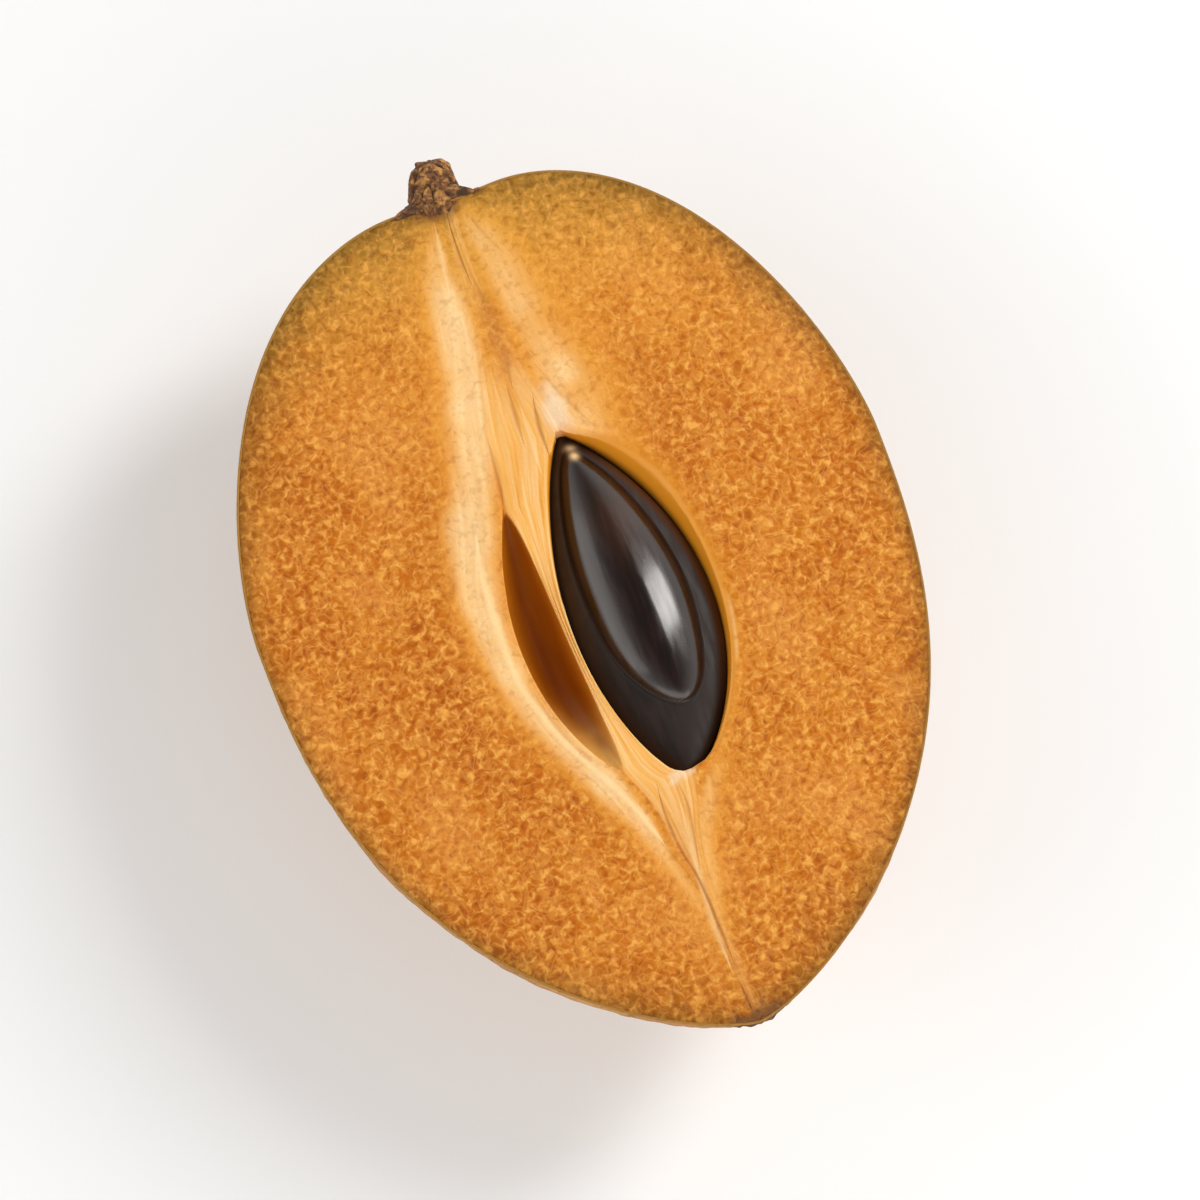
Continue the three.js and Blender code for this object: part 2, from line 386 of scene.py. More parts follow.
class SapodillaStage(PropertyGroup):
    """The camera and the lights."""

    azimuth: FloatProperty(
        name="Azimuth",
        description="Turn of the camera round the half",
        default=np.radians(-20.5),
        subtype="ANGLE",
    )
    elevation: FloatProperty(
        name="Elevation",
        description="Height of the camera above the floor, as an angle",
        default=np.radians(78.0),
        subtype="ANGLE",
    )
    distance: FloatProperty(
        name="Distance",
        description="Camera to the middle of the cut face",
        default=0.49,
        unit="LENGTH",
    )
    lens: FloatProperty(
        name="Lens", description="Focal length", default=183.0, subtype="DISTANCE_CAMERA"
    )
    key_power: FloatProperty(
        name="Key light", description="Power of the soft key light", default=1.5, unit="POWER"
    )
    fill_power: FloatProperty(
        name="Fill light", description="Power of the low fill light", default=1.0, unit="POWER"
    )
    card_power: FloatProperty(
        name="Left card",
        description="Power of the card that lifts the shadows",
        default=0.6,
        unit="POWER",
    )
    horizon: FloatProperty(
        name="Room light", description="Strength of the light from the walls of the room", default=1.3
    )
    zenith: FloatProperty(
        name="Ceiling light", description="Strength of the light from straight above", default=0.15
    )


# The flesh


ROWS_UPPER, ROWS_LOWER = 128, 168
BAND_COLUMNS = (102, 22, 13, 50, 102)
UNDER_COLUMNS = 20
UNDER_SINK = 0.5  # how much deeper the underside of the flesh lies, in its middle
FLESH_INSIDE_EDGE = 0.08  # how far the flesh reaches under the skin's edge, so that no gap shows

# Middle lines of the strands over the core and above and below the chamber: station and X
CORE_KNOTS = [
    (-1, 0), (5, -0.3), (12, 0.0), (17, 0.8), (20, 1.5), (22, 1.7), (36, 1.7), (50, 1.7), (51, 1.7),
    (53, 1.4), (56, 0.6), (62, -0.1), (72, 0),
]
CHAMBER_RUN = [
    (-1, -0.5), (5, -1.25), (10, -1.6), (16, -3.0), (20, -3.9), (23, -4.3), (26, -4.8),
]
CHAMBER_RUN_OUT = [
    (49.2, -3.2), (52, -2.1), (56, -1.2), (61, -0.75), (67, -0.55), (72, -0.2),
]

# Pale bands: station, X of the middle, reach outwards, reach inwards, paleness
PALE_LEFT = [
    (0, -1.6, 0.8, 0.6, 0.35), (3, -2.2, 2.0, 1.4, 0.55), (6, -2.7, 2.2, 2.0, 0.8),
    (10, -3.2, 2.3, 2.2, 0.95), (14, -3.4, 2.9, 2.0, 1.0), (18, -4.1, 3.5, 2.2, 1.0),
    (22, -5.8, 3.0, 2.8, 0.98), (26, -7.6, 3.0, 3.0, 1.0), (30, -8.8, 2.5, 3.0, 0.96),
    (35, -9.3, 1.9, 2.8, 0.88), (40, -8.9, 1.8, 2.7, 0.8), (45, -7.1, 2.1, 2.0, 0.84),
    (50, -4.6, 2.2, 1.9, 0.92), (53, -3.3, 2.0, 1.2, 0.92), (56, -2.6, 1.5, 1.0, 0.7),
    (60, -1.6, 1.1, 0.9, 0.58), (64, -1.0, 1.0, 0.7, 0.45), (68, -0.6, 0.6, 0.6, 0.25),
    (72, 0, 0.5, 0.5, 0),
]
PALE_RIGHT = [
    (0, 0.8, 1.0, 0.9, 0.3), (3, 1.2, 2.8, 1.5, 0.6), (6, 1.9, 3.2, 2.0, 0.74),
    (10, 2.0, 4.3, 1.7, 0.7), (14, 2.8, 4.2, 2.1, 0.76), (18, 3.0, 4.6, 2.5, 0.8),
    (22, 3.6, 4.6, 1.5, 0.68), (26, 7.2, 2.6, 1.0, 0.34), (30, 8.9, 1.6, 0.8, 0.3),
    (35, 9.7, 1.2, 0.8, 0.3), (40, 9.2, 1.0, 0.5, 0.45), (45, 8.0, 1.0, 0.6, 0.4),
    (50, 4.9, 1.6, 1.0, 0.42), (53, 2.8, 2.6, 1.4, 0.6), (56, 1.0, 2.3, 1.0, 0.6),
    (60, 0.6, 1.2, 1.0, 0.54), (64, 0, 1.1, 0.9, 0.4), (68, -0.3, 0.8, 0.8, 0.25),
    (72, 0, 0.5, 0.5, 0),
]
# Station, and share of the strands' colour there
STRAND_KNOTS = [
    (0, 0.4), (7, 0.3), (9, 0.15), (14, 0.2), (18, 0.75), (24, 0.9), (50, 0.95), (54, 0.7),
    (58, 0.45), (66, 0.25), (72, 0.15),
]

# Fine lines in the order of their stations: half width, then station and X of each knot
DARK_LINES = {
    "crease_a": [
        (0.12, [(0.8, -0.45), (4, -0.65), (8.0, -0.6)]),
        (0.28, [(17.2, 0.9), (19.5, 0.5), (21.5, 0.35), (23.6, 0.3)]),
        (0.17, [(50.6, -0.95), (53.5, -1.25), (57, -1.05), (59.5, -0.6), (64, -0.4), (67.5, -0.35)]),
        (0.22, [(68.4, -0.45), (71, -0.35)]),
    ],
    "crease_b": [
        (0.27, [(15.6, -0.8), (19, -1.1), (22.0, -1.35)]),
        (0.2, [(51.0, 0.6), (53.5, 0.7), (56.5, 0.2), (59.5, -0.35)]),
    ],
    "crease_c": [
        (0.24, [(1.2, 1.0), (3.8, 1.9), (6.2, 3.0)]),
        (0.26, [(14.5, 1.6), (18.5, 3.0), (22.8, 5.0)]),
        (0.24, [(39.5, -7.9), (44, -6.9), (47.8, -5.4)]),
        (0.2, [(54.6, -2.7), (58.6, -1.35), (60.8, -0.85)]),
    ],
    "crease_d": [
        (0.85, [(6.5, -0.3), (10, 0.0), (13, -0.1), (17, -0.6)]),
        (0.34, [(19.4, -3.85), (23, -4.15), (26.3, -4.75)]),
    ],
}
PALE_LINES = {
    "fibre_a": [
        (
            0.42,
            [(26, -7.3), (30, -8.2), (35, -8.5), (39.5, -8.5), (43, -7.6), (46, -6.5), (49, -4.9)]
            + [(53, -3.1), (57, -1.9)],
        ),
    ],
    "fibre_b": [
        (0.34, [(0.9, -1.6), (3, -1.9), (8, -2.7)]),
        (0.3, [(17.5, -0.4), (21, -0.6), (25, -0.9)]),
        (0.3, [(42, -6.7), (45, -6.0), (47, -5.1), (49.3, -3.7)]),
        (0.34, [(52, 0.3), (57, -0.2), (62, -0.7), (68, -0.75)]),
    ],
}
LINE_STRENGTH = {
    "fibre_a": 0.8,
    "fibre_b": 0.45,
    "crease_a": 0.85,
    "crease_b": 0.6,
    "crease_c": 0.3,
    "crease_d": 0.4,
}


def chamber_share(station):
    """Share of the way along the empty chamber."""
    return (station - CHAMBER_START) / CHAMBER_LENGTH


def chamber_lips(share):
    """X of the chamber's middle line, which bows away from the core, and its two half widths."""
    line = CHAMBER_LINE[0] + (CHAMBER_LINE[1] - CHAMBER_LINE[0]) * share
    line = line - CHAMBER_BOW * 4 * share * (1 - share)
    left = CHAMBER_LEFT * girth(share, CHAMBER_TAPER_LEFT)
    right = CHAMBER_RIGHT * girth(share, CHAMBER_TAPER_RIGHT)
    return line, left, right


def cavity_lines(station):
    """X of the lips of the chamber and of the pit, run on as strands to both ends of the fruit.

    Each lip is its strand's line, plus or minus sqrt(half width^2 + least half width^2).
    """
    share = chamber_share(station)
    middle, left, right = chamber_lips(share)
    middle = np.where(share < 0, through(station, CHAMBER_RUN), middle)
    middle = np.where(share > 1, through(station, CHAMBER_RUN_OUT), middle)
    wedge = 0.22 + 0.33 * smooth(19.5, 26, station) * smooth(31, 27, station)
    left = middle - np.hypot(left, 0.22)
    right = middle + np.hypot(right, wedge)
    core = through(station, CORE_KNOTS)
    wide = girth(pit_share(station), SEED_TAPER)
    pit_left = core - np.hypot((SEED_LEFT + PIT_GAP) * wide, 0.3)
    pit_right = core + np.hypot(SEED_RIGHT * wide + lip_width(station), 0.3)
    right = np.minimum(right, pit_left - 0.1)
    return left, right, pit_left, pit_right


def stream_across(x, lines):
    """A number that stays the same along a fibre: millimetres outside the lips, fixed shares between."""
    first, second, third, fourth = lines
    across = x - first
    across = np.where(x > first, 1.4 * (x - first) / (second - first), across)
    across = np.where(x > second, 1.4 + 6 * (x - second) / (third - second), across)
    across = np.where(x > third, 7.4 + 2.6 * (x - third) / (fourth - third), across)
    return np.where(x > fourth, 10 + x - fourth, across)


def pale_band(x, station, rows, side):
    """Paleness of a band: exp(-(distance / reach)^2), with its own reach on each side of its middle."""
    line, outward, inward, paleness = (through(station, rows, i) for i in (1, 2, 3, 4))
    away = (x - line) * side
    return paleness * np.exp(-((away / np.maximum(np.where(away > 0, outward, inward), 0.2)) ** 2))


def line_distance(x, station, lines):
    """Signed distance across the fine line that runs here, in its half widths; it tapers to both ends."""
    gaps, off = [], []
    for half_width, knots in lines:
        first, last = knots[0][0], knots[-1][0]
        fade = min(4.0, (last - first) / 2)
        narrow = smooth(first, first + fade, station) * smooth(last, last - fade, station)
        gaps.append((x - through(station, knots)) / (half_width * np.maximum(narrow, 0.01)))
        off.append(np.maximum(first - station, station - last) + 0 * x)
    nearest = np.argmin(off, axis=0)[None]
    return np.clip(np.take_along_axis(np.stack(gaps), nearest, 0)[0], -80, 80)


def pit_share(station):
    """Share of the way along the seed's pit."""
    return (station - SEED_START + PIT_GAP) / (SEED_LENGTH + 2 * PIT_GAP)


def lip_width(station):
    """Width of the amber wall that slopes down to the seed's right margin."""
    share = pit_share(station)
    return through(station, PIT_LIP_KNOTS) * smooth(0, 0.07, share) * smooth(0, 0.04, 1 - share)


def pocket(x, left, right, power):
    """Depth share of a pocket between two lips: (1 - |across|^power)^(1/2)."""
    half = np.maximum((right - left) / 2, 1e-3)
    across = np.clip(np.abs(x - (left + right) / 2) / half, 0, 1)
    return np.sqrt(1 - across**power)


def pit_edges(station):
    """X of the pit's left edge, of the seed's right margin and of the amber wall's outer edge."""
    wide = girth(pit_share(station), SEED_TAPER)
    margin = SEED_LINE + SEED_RIGHT * wide
    return SEED_LINE - (SEED_LEFT + PIT_GAP) * wide, margin, margin + lip_width(station)


def pit_depth(x, station):
    """Depth of the seed's pit, and 1 along it with its two ends rounded off to 0.

    It is a pocket, and on the right a wall that rises as 1 - (1 - share of the way up it)^1.5.
    """
    along = pit_share(station)
    wide = girth(along, SEED_TAPER)
    ends = smooth(0, 0.016, along) * smooth(0, 0.012, 1 - along) * (along > 0) * (along < 1)
    left, margin, _ = pit_edges(station)
    bowl = (PIT_WALL + PIT_HOLLOW * wide) * ends * pocket(x, left, margin + 0.1, PIT_SQUARENESS)
    up_wall = np.clip((x - margin) / np.maximum(lip_width(station), 0.05), 0, 1)
    wall = PIT_WALL * (1 - up_wall) ** 1.5 * ends * (x > SEED_LINE)
    return np.maximum(bowl, wall), ends


def chamber_depth(x, station, point, deepest):
    """Depth of the empty chamber, and the share of the tan film that fills its lower end."""
    share = chamber_share(station)
    middle, left, right = chamber_lips(share)
    hollow = pocket(x, middle - left, middle + right, CHAMBER_SQUARENESS)
    wide = (left + right) / (CHAMBER_LEFT + CHAMBER_RIGHT)
    film = smooth(*FILM_STATIONS, station - 0.35 * (x + 4.5) + 0.5 * noise(point, 1.2, 9))
    depth = deepest * wide**0.8 * (1 - FILM_FILLS * film) * hollow * (share > 0) * (share < 1)
    return depth, film * smooth(0.02, 0.3, depth)


def amber_lip(x, station, lines):
    """Share of amber: beside the pit's right edge as (1 - distance)^2, and in a tail above the chamber."""
    beyond = np.clip((x - pit_edges(station)[2]) / (0.6 + lip_width(station)), 0, 1)
    wide = girth(pit_share(station), SEED_TAPER)
    beside_pit = (1 - beyond) ** 2 * smooth(SEED_LINE, SEED_LINE + 0.5, x) * smooth(0.0, 0.3, wide)
    left, right = lines[:2]
    tail = bell(x, (left + right) / 2, 0.75 * (right - left) / 2)
    tail = 0.8 * tail * smooth(19.3, 25, station) * (chamber_share(station) < 0.04)
    return np.maximum(beside_pit, tail)


def pale_tissue(x, station, point):
    """Paleness of both bands, a little uneven, and of a thin line beside the lower part of the pit, which
    is a painted highlight along the lip's crest with whitish fibres.
    """
    bands = np.maximum(pale_band(x, station, PALE_LEFT, -1), pale_band(x, station, PALE_RIGHT, 1))
    bands = bands * (0.88 + 0.16 * noise(point, 2.2, 13))
    # Painted highlight along the crest beside the pit's lower part, over whitish fibres
    beside_pit = bell(x, pit_edges(station)[2] + 0.45, 0.3)
    beside_pit = beside_pit * smooth(36, 40, station) * smooth(46, 43, station) * 0.7
    return np.clip(np.maximum(bands, beside_pit), 0, 1)


def oval(x, station, middle, reach):
    """Distance from the middle of an oval, which is 1 on its edge."""
    return np.hypot((x - middle[0]) / reach[0], (station - middle[1]) / reach[1])


def whitish_membrane(x, station, point):
    """Share of the whitish membrane: a ragged tuft above the seed, and a torn rest below it."""
    above = oval(x, station, (2.1, 19.6), (1.2, 2.3)) + 0.25 * noise(point, 0.9, 35)
    below = oval(x, station, (1.2, 51.1), (1.1, 0.6)) + 0.7 * noise(point, 0.5, 36)
    return np.maximum(0.6 * smooth(1.3, 0.3, above), 0.5 * smooth(1.1, 0.5, below))


def brown_stains(x, station, rim, point):
    """Share of brown: the stain round the stub's foot, and the scab at the blossom tip."""
    foot = oval(x, station, (-1.1, -0.2), (1.3, 1)) + 0.4 * noise(point, 0.8, 15)
    scab = smooth(1.5, 0.5, rim + 0.6 * noise(point, 0.8, 16))
    scab = scab * smooth(2.8, 1.4, np.abs(x)) * (station > 60)
    return np.maximum(smooth(2.4, 0.6, foot), scab)


def cut_face(station, x, lines, rim, point, sizes):
    """Height of the cut face above the cut, and the shares of each finish there.

    The height is a slow knife wave, plus granules and fibres, minus the pockets.
    """
    chamber_left, chamber_right, _, pit_right = lines
    pit, pit_ends = pit_depth(x, station)
    chamber, film = chamber_depth(x, station, point, sizes.chamber_depth / MM)
    lip = amber_lip(x, station, lines)
    pale = pale_tissue(x, station, point)
    tuft = whitish_membrane(x, station, point) * (1 - smooth(0.1, 0.6, pit))
    strand = smooth(-0.2, 0.3, x - (chamber_left + chamber_right) / 2) * smooth(0.4, -0.2, x - pit_right)
    strand = strand * through(station, STRAND_KNOTS) * (1 - pit_ends * (pit > 0.05))

    stream = np.stack([stream_across(x, lines), station, np.zeros_like(x)], -1)
    threads = noise(stream, (0.8, 12, 1), 3) + 0.4 * noise(stream, (0.35, 7, 1), 5)
    wave = 0.1 * fractal(point, 11, 7, 2)
    fibrous = np.clip(0.6 * pale + strand + lip, 0, 1)
    granules = sizes.granules / MM * fractal(point, 0.85, 11, 2)
    granules = granules * (1 - 0.85 * fibrous) * smooth(0.2, 1.2, rim)
    height = wave * smooth(0.3, 4, rim) + granules + sizes.fibres / MM * threads * strand - 0.25 * lip
    height = height * (1 - smooth(0.2, 1.5, pit + chamber) * 0.8) - pit - chamber

    values = {"pale": pale, "tuft": tuft, "film": film, "strand": strand, "lip": lip}
    values |= {"pit": pit, "chamber": chamber, "rim": rim, "stream": stream}
    values["stain"] = brown_stains(x, station, rim, point)
    for name, drawn in (DARK_LINES | PALE_LINES).items():
        values[name] = line_distance(x, station, drawn)
    return height, values


def rim_distance(station, x):
    """About how far a point of the cut face lies inside the outline: (1 - f) / |grad f| for f = 1 on it."""
    upper = station < RIM_STATION
    reach = np.where(upper, RIM_STATION + SHOULDER_RISE, FRUIT_LENGTH - RIM_STATION)
    along = np.where(upper, STEM_ALONG, TIP_ALONG)
    power = np.where(upper, STEM_ACROSS, TIP_ACROSS)
    side = np.where(x < 0, LEFT, RIGHT)
    up = np.clip(np.abs(station - RIM_STATION) / reach, 1e-4, 1)
    out = np.clip(np.abs(x) / side, 1e-4, 1)
    value = up**along + out**power
    slope = np.hypot(along * up ** (along - 1) / reach, power * out ** (power - 1) / side)
    return np.maximum(1 - value, 0) / np.maximum(slope, 1 / side)


def flesh_grid(sizes):
    """Rings round the flesh from the stalk end to the tip, with the finish shares at each point.

    Each ring crosses the cut face along one station, in bands that end at the rim and at the lips,
    and comes back under it along the skin, up to UNDER_SINK deeper so that it stays inside it.
    """
    inset = sizes.skin_edge / MM - FLESH_INSIDE_EDGE
    turn = np.linspace(0, np.pi / 2, ROWS_UPPER + 1)[1:]
    upper_reach = np.cos(turn) ** (2 / STEM_ALONG)
    lower_reach = 1 - np.linspace(1, 0, ROWS_LOWER + 1)[1:-1] ** 1.4
    reach = np.concatenate([upper_reach, lower_reach])[:, None]
    end = np.concatenate([-np.ones(ROWS_UPPER), np.ones(ROWS_LOWER - 1)])[:, None]

    left = fruit_surface(end, reach, -1.0, 0.0, inset)[0]
    right = fruit_surface(end, reach, 1.0, 0.0, inset)[0]
    upper = RIM_STATION + SHOULDER_RISE - inset
    lower = FRUIT_LENGTH - RIM_STATION - inset
    level = RIM_STATION + np.where(end < 0, -upper, lower) * reach
    # The strands draw together where the ring is narrower than 3 mm, at both ends
    narrow = 1 - np.exp(-((right / 3.0) ** 2))
    lines = [line * narrow for line in cavity_lines(level)]
    edges = [left, *lines, right]
    columns = []
    for i, count in enumerate(BAND_COLUMNS):
        t = np.arange(count) / count
        # Columns crowd at the lips of the chamber and of the pit
        if i in (1, 3):
            t = (1 - np.cos(np.pi * t)) / 2
        columns.append(edges[i] + (edges[i + 1] - edges[i]) * t)
    x = np.concatenate([*columns, right], axis=1)
    dimple = SHOULDER_RISE * bell(x, 0, DIMPLE_RADIUS) * reach**4
    station = level + np.where(end < 0, dimple, 0)
    point = np.stack([x, FOOT_Y - station, np.full_like(x, CUT_Z)], -1)
    rim = rim_distance(station, x)
    height, shares = cut_face(station, x, lines, rim, point, sizes)
    point[..., 2] += height * smooth(0.0, 0.5, rim)

    around = np.pi * np.arange(1, UNDER_COLUMNS) / UNDER_COLUMNS
    deep = inset + UNDER_SINK * np.sqrt(np.sin(around))
    under = fruit_surface(end, reach, np.cos(around), np.sin(around), deep)
    under = np.stack(np.broadcast_arrays(*under), -1)
    under[..., 2] = np.maximum(under[..., 2], inset)
    grid = np.concatenate([point, under], axis=1)
    blank = np.zeros(under.shape[:2])
    values = {}
    for key, share in shares.items():
        rest = np.zeros(under.shape) if share.ndim == 3 else blank
        values[key] = np.concatenate([share, rest], axis=1)
    poles = [(0, FOOT_Y - inset, CUT_Z), (0, FOOT_Y - FRUIT_LENGTH + inset, CUT_Z)]
    return grid, poles, values


def flesh_ground(add, colours, place, rim):
    """Colour of the flesh under its grains, and the share of painted shade towards the skin in it.

    Riper orange patches and drier peachy ones are long in the direction of the core, and the left side
    is riper. Towards the skin the flesh is darkened with painted shade, in ochre, and in olive round the
    stub where it is also greener, as exp(-rim / reach).
    """
    x = add("SeparateXYZ", place, output="X")
    y = add("SeparateXYZ", place, output="Y")
    patches = add("TexNoise", add("Mapping", place, (1.0, 0.6, 1.0)), 1 / (6 * MM), 2.5)
    left = add("MapRange", x, 0, -18 * MM)
    riper = add("Math MULTIPLY_ADD", left, 0.3, add("MapRange", patches, 0.54, 0.32, 0.0, 0.85))
    base = add("Mix", riper, colours["flesh"], colours["flesh_deep"])
    base = add("Mix", add("MapRange", patches, 0.48, 0.68, 0.0, 0.7), base, colours["flesh_peach"])
    golden = add("Math MULTIPLY_ADD", left, -0.2, 0.28)
    golden = add("Math MULTIPLY", add("MapRange", y, 6 * MM, 26 * MM), golden)
    base = add("Mix", golden, base, colours["gold"])
    stem = add("MapRange", y, 20 * MM, 33 * MM)
    base = add("Mix", add("Math MULTIPLY", stem, 0.5), base, colours["shoulder"])

    # Painted shade towards the skin, which reaches furthest in round the stub
    near_stem = add("MapRange", y, 4 * MM, 22 * MM, 1.0, 2.5)
    near_tip = add("MapRange", y, -22 * MM, -33 * MM, 0.0, 0.8)
    ragged = add("Math MULTIPLY", add("TexNoise", place, 1 / (1.6 * MM)), -2.0)
    depth = add("Math DIVIDE", add("Math MULTIPLY", rim, ragged), add("Math ADD", near_stem, near_tip))
    rim_shade = add("Math MULTIPLY", add("Math EXPONENT", depth), 0.95)
    rim_colour = add("Mix", stem, colours["ochre"], colours["olive"])
    return add("Mix", rim_shade, base, rim_colour), rim_shade


def core_colour(add, colours, base, share, threads, hollow_shade):
    """Puts the tan strands between the pale bands, the amber lip and the brown stains over the base."""
    light = add("Math MULTIPLY", add("MapRange", threads, 0.4, 0.66), 0.45)
    strand = add("Mix", light, colours["strand"], colours["fibre"])
    strand = add("Mix MULTIPLY", add("MapRange", threads, 0.42, 0.28), strand, (0.86, 0.72, 0.5))
    base = add("Mix", share["strand"], base, strand)
    base = add("Mix", add("Math MULTIPLY", share["lip"], 0.8), base, colours["amber"])
    # Painted shade in the hollows darkens the brown stains
    scab = add("Mix", hollow_shade, colours["stub"], colours["stub_dark"])
    return add("Mix", add("Math MULTIPLY", share["stain"], 0.9), base, scab)


def pocket_colour(add, colours, base, share, threads):
    """Turns the walls of the chamber and the pit from amber to brown with their depth; deep in the pit the
    dark olive-brown is painted shade.
    """
    lining = add("MapRange", threads, 0.3, 0.7, 0.0, 0.35)
    lining = add("Mix", lining, colours["cavity"], colours["amber"])
    base = add("Mix", add("MapRange", share["chamber"], 0.03, 0.8), base, lining)
    base = add("Mix", share["film"], base, colours["film"])
    base = add("Mix", add("MapRange", share["pit"], 0.02, 0.4), base, colours["amber"])
    # Painted shade: the pit's wall darkens to dark olive-brown with its depth
    base = add("Mix", add("MapRange", share["pit"], 1.0, 2.4), base, colours["seed_band"])
    return add("Mix", share["tuft"], base, colours["membrane"])


def drawn_lines(add, lines):
    """Share of the strongest of some fine lines, from the distance to each in its half widths."""
    strongest = 0.0
    for name in lines:
        across = add("Math ABSOLUTE", add(f"Attribute {name}"))
        line = add("MapRange", across, 1.3, 0.0, 0.0, LINE_STRENGTH[name])
        strongest = add("Math MAXIMUM", strongest, line)
    return strongest


def flesh_material(colours):
    """Ripe sapodilla flesh, cut with a knife: moist, granular like brown sugar, a little translucent.

    Stone cells make bright gritty marks about 0.6 mm across on orange-brown; fibres along the core
    are paler and smooth, and the walls of the seed chambers are amber and shine.
    """
    material, add = new_material("ripe sapodilla flesh, knife cut")
    place = add("TexCoord")
    names = ("pale", "tuft", "film", "strand", "lip", "rim", "chamber", "pit", "stain")
    share = {name: add(f"Attribute {name}") for name in names}
    base, rim_shade = flesh_ground(add, colours, place, share["rim"])

    # Threads run along the stream lines, about 0.8 mm apart and 10 mm long
    stream = add("Attribute stream", output="Vector")
    threads = add("TexNoise", add("Mapping", stream, (1.3, 0.1, 1)), 1, 2)
    thread = add("MapRange", threads, 0.4, 0.66)

    # Pale tissue along the core, cream in its middle and golden where it fades
    mottle = add("TexNoise", place, 1 / (0.6 * MM), 1.5, 0.5)
    streaks = add("Math MULTIPLY_ADD", thread, 0.25, add("Math MULTIPLY_ADD", mottle, 0.5, 0.52))
    pale = add("Math MULTIPLY", add("MapRange", share["pale"], 0.0, 0.8), streaks)
    pale_colour = add("MapRange", share["pale"], 0.3, 0.9)
    pale_colour = add("Mix", pale_colour, colours["gold"], colours["fibre"])
    base = add("Mix", pale, base, pale_colour)

    # Stone cells: soft curled marks, which are the lines where a noise passes its middle value,
    # with moist light grains and painted shade in the hollows between them, and none where the flesh is
    # fibrous
    curl = add("TexNoise", place, 1 / (1.0 * MM), 1.0, 0.9)
    curl = add("MapRange", add("Math ABSOLUTE", add("Math SUBTRACT", curl, 0.5)), 0.12, 0.0)
    grit = add("Math MULTIPLY_ADD", curl, 0.4, add("MapRange", mottle, 0.46, 0.76))
    hollow_shade = add("MapRange", mottle, 0.5, 0.24)
    fibrous = add("Math MAXIMUM", share["strand"], share["lip"])
    fibrous = add("Math MAXIMUM", add("Math MULTIPLY", share["pale"], 0.9), fibrous)
    granular = add("Math MULTIPLY_ADD", fibrous, -0.93, 1.0)
    base = add("Mix MULTIPLY", add("Math MULTIPLY", hollow_shade, granular), base, (0.73, 0.57, 0.34))
    light = add("Math MULTIPLY", grit, granular)
    light = add("Math MULTIPLY", light, add("Math MULTIPLY_ADD", rim_shade, -0.6, 0.85))
    base = add("Mix", light, base, colours["flesh_light"])

    base = core_colour(add, colours, base, share, threads, hollow_shade)
    base = pocket_colour(add, colours, base, share, threads)
    fibre, crease = drawn_lines(add, PALE_LINES), drawn_lines(add, DARK_LINES)
    base = add("Mix", fibre, base, colours["fibre"])
    base = add("Mix MULTIPLY", crease, base, (0.62, 0.45, 0.24))

    # Relief: grains on the granular flesh, threads on the strands, and smooth pockets
    pocket_share = add("MapRange", add("Math MAXIMUM", share["chamber"], share["pit"]), 0.1, 1.0)
    rough = add("MapRange", add("Math MAXIMUM", fibrous, pocket_share), 0.0, 1.0, 0.5, 0.38)
    relief = add("Math MULTIPLY_ADD", grit, 0.8, add("TexNoise", place, 1 / (0.28 * MM), 1.0, 0.5))
    relief = add("Math MULTIPLY", relief, add("Math MULTIPLY_ADD", pocket_share, -0.9, 1.0))
    relief = add("Math MULTIPLY", relief, add("MapRange", granular, 0.0, 1.0, 0.2, 1.0))
    relief = add("Math MULTIPLY_ADD", thread, add("Math MULTIPLY", share["strand"], 0.6), relief)
    relief = add("Math ADD", add("Math SUBTRACT", fibre, crease), relief)
    bump = add("Bump", inputs={"Strength": 0.6, "Distance": 0.12 * MM, "Height": relief})
    shader = add(
        "BsdfPrincipled",
        inputs={
            "Base Color": base,
            "Roughness": rough,
            "IOR": 1.4,
            "Subsurface Weight": 0.2,
            "Subsurface Radius": (1.0, 0.45, 0.12),
            "Subsurface Scale": 1.0 * MM,
            "Specular IOR Level": 0.3,
            "Normal": bump,
        },
    )
    add("OutputMaterial", shader)
    return material


# The skin


SKIN_AROUND, SKIN_DOWN, SKIN_EDGE_RINGS = 540, 112, 7
SKIN_UNDER_THICKNESS = 0.8
DEEPEST_DENT = 0.2
SCAR_RADIUS, SCAR_CRUST = 2.7, 0.25


def outward_point(turn, fall, inset):
    """The fruit's surface in a direction: turn goes round the rim, and fall from the rim down.

    The share of the way to an end is the direction's part along the core to the power 2 / along.
    """
    level = np.cos(fall)
    across, toward_stalk, down = level * np.cos(turn), level * np.sin(turn), np.sin(fall)
    ring = np.maximum(np.hypot(across, down), 1e-9)
    along = np.where(toward_stalk >= 0, STEM_ALONG, TIP_ALONG)
    reach = np.abs(toward_stalk) ** (2 / along)
    end = np.where(toward_stalk >= 0, -1.0, 1.0)
    return np.stack(fruit_surface(end, reach, across / ring, down / ring, inset), -1)


def skin_relief(grid, scurf):
    """Height of the relief on the skin's outside, and the share of the scar at the blossom tip.

    Scurf is noise 1.1 and 7 mm across, which fades out at the cut and where the skin rests. The scar's
    crust is the size, without its sign, of a noise 0.9 mm across.
    """
    from_tip = np.linalg.norm(grid - np.array([0, SKIN_LOW[1], CUT_Z]), axis=-1)
    scar = smooth(SCAR_RADIUS * 1.15, SCAR_RADIUS * 0.55, from_tip + 0.5 * fractal(grid, 1.0, 31, 2))
    below_cut = CUT_Z - grid[..., 2]
    relief = scurf * (0.7 * fractal(grid, 1.1, 17, 2) + 1.6 * noise(grid, 7.0, 19))
    relief = np.maximum(relief, -DEEPEST_DENT) * (1 - scar)
    relief = relief * smooth(0.0, 1.2, grid[..., 2]) * smooth(0.0, 2.5, below_cut + 0.3)
    crust = scar * (SCAR_CRUST * np.abs(fractal(grid, 0.9, 23, 2)) - 0.05)
    return relief + crust * smooth(0.0, 0.8, below_cut + 0.25), scar


